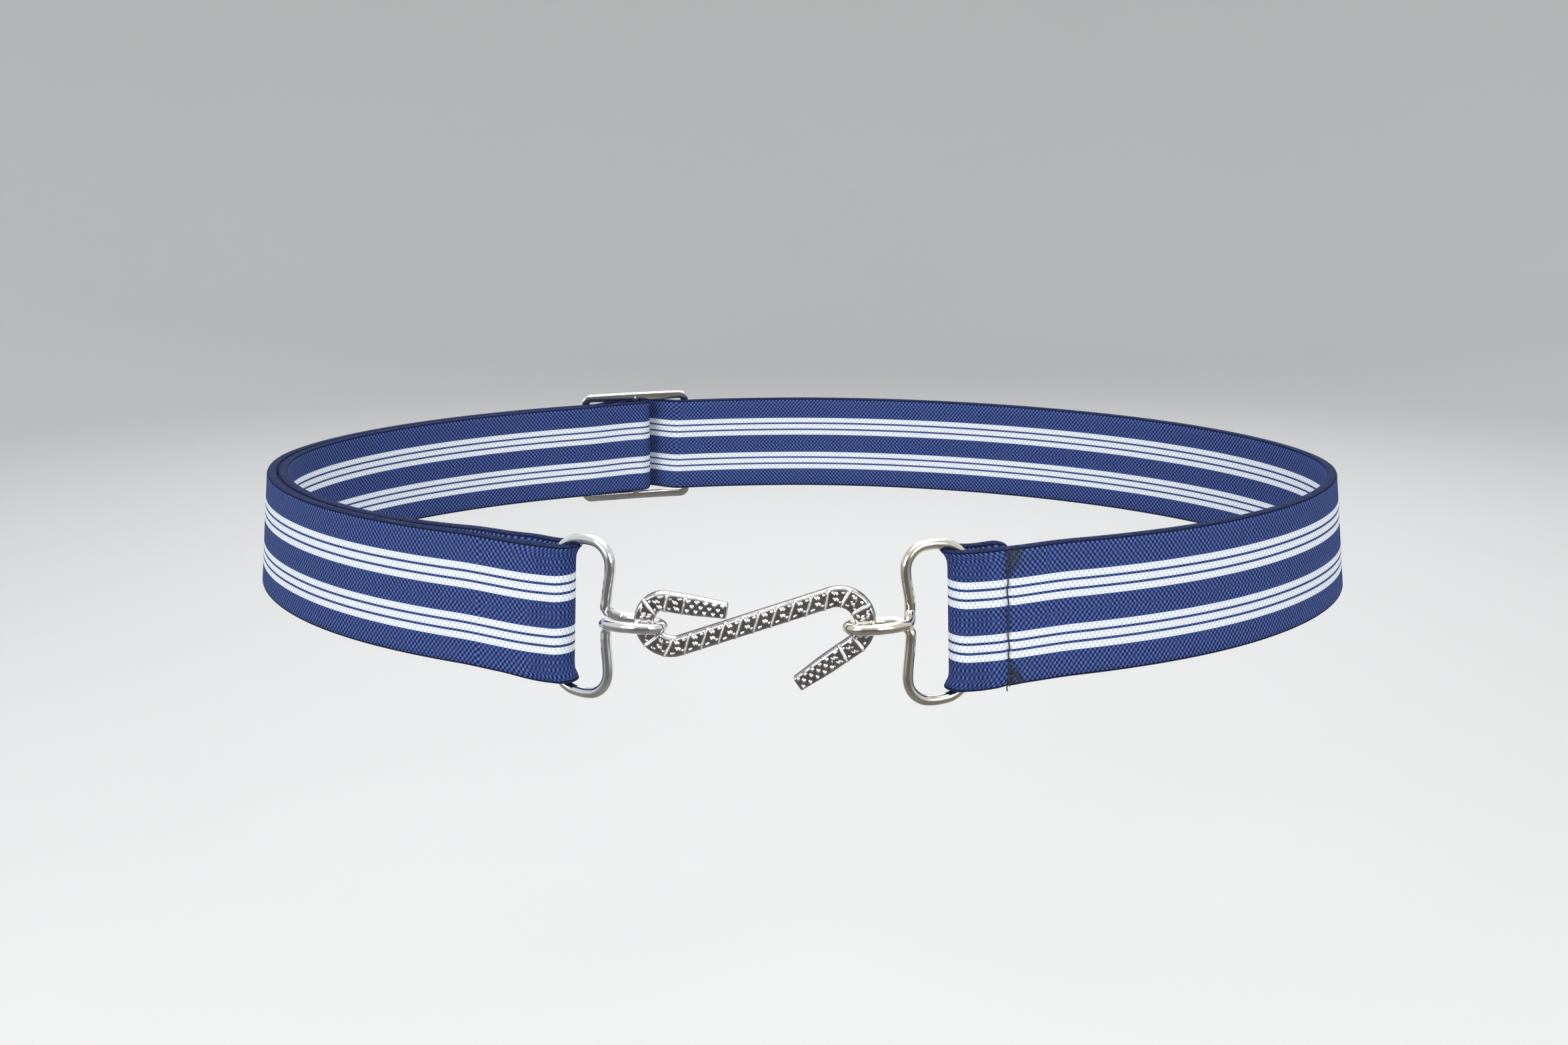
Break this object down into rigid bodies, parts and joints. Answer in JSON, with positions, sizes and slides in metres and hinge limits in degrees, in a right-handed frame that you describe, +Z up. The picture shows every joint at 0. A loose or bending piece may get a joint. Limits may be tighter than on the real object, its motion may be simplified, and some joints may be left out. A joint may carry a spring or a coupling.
{
  "type": "elastic snake belt",
  "caption": "Striped elastic waist belt, worn and fastened in front by an S-shaped snake hook between two wire loops, with a slide at the back that sets its length.",
  "frame": {"origin": "middle of the waist that the belt goes round, at half the strap's height", "axes": "+Z up along the wearer's waist, +X towards the wearer's left hand, the fastening at -Y"},
  "size_m": [0.2949, 0.2085, 0.0375],
  "materials": {
    "striped_webbing": "matt woven elastic, navy with two groups of three white stripes",
    "nickel_wire": "bright nickel-plated wire",
    "cast_hook": "bright cast relief, darker in its hollows",
    "nickel_plate": "bright nickel-plated steel"
  },
  "bodies": {
    "root": {"elastic_strap": "striped_webbing", "loop_left": "nickel_wire", "loop_right": "nickel_wire", "snake_hook": "cast_hook", "back_slide": "nickel_plate"}
  },
  "joints": []
}
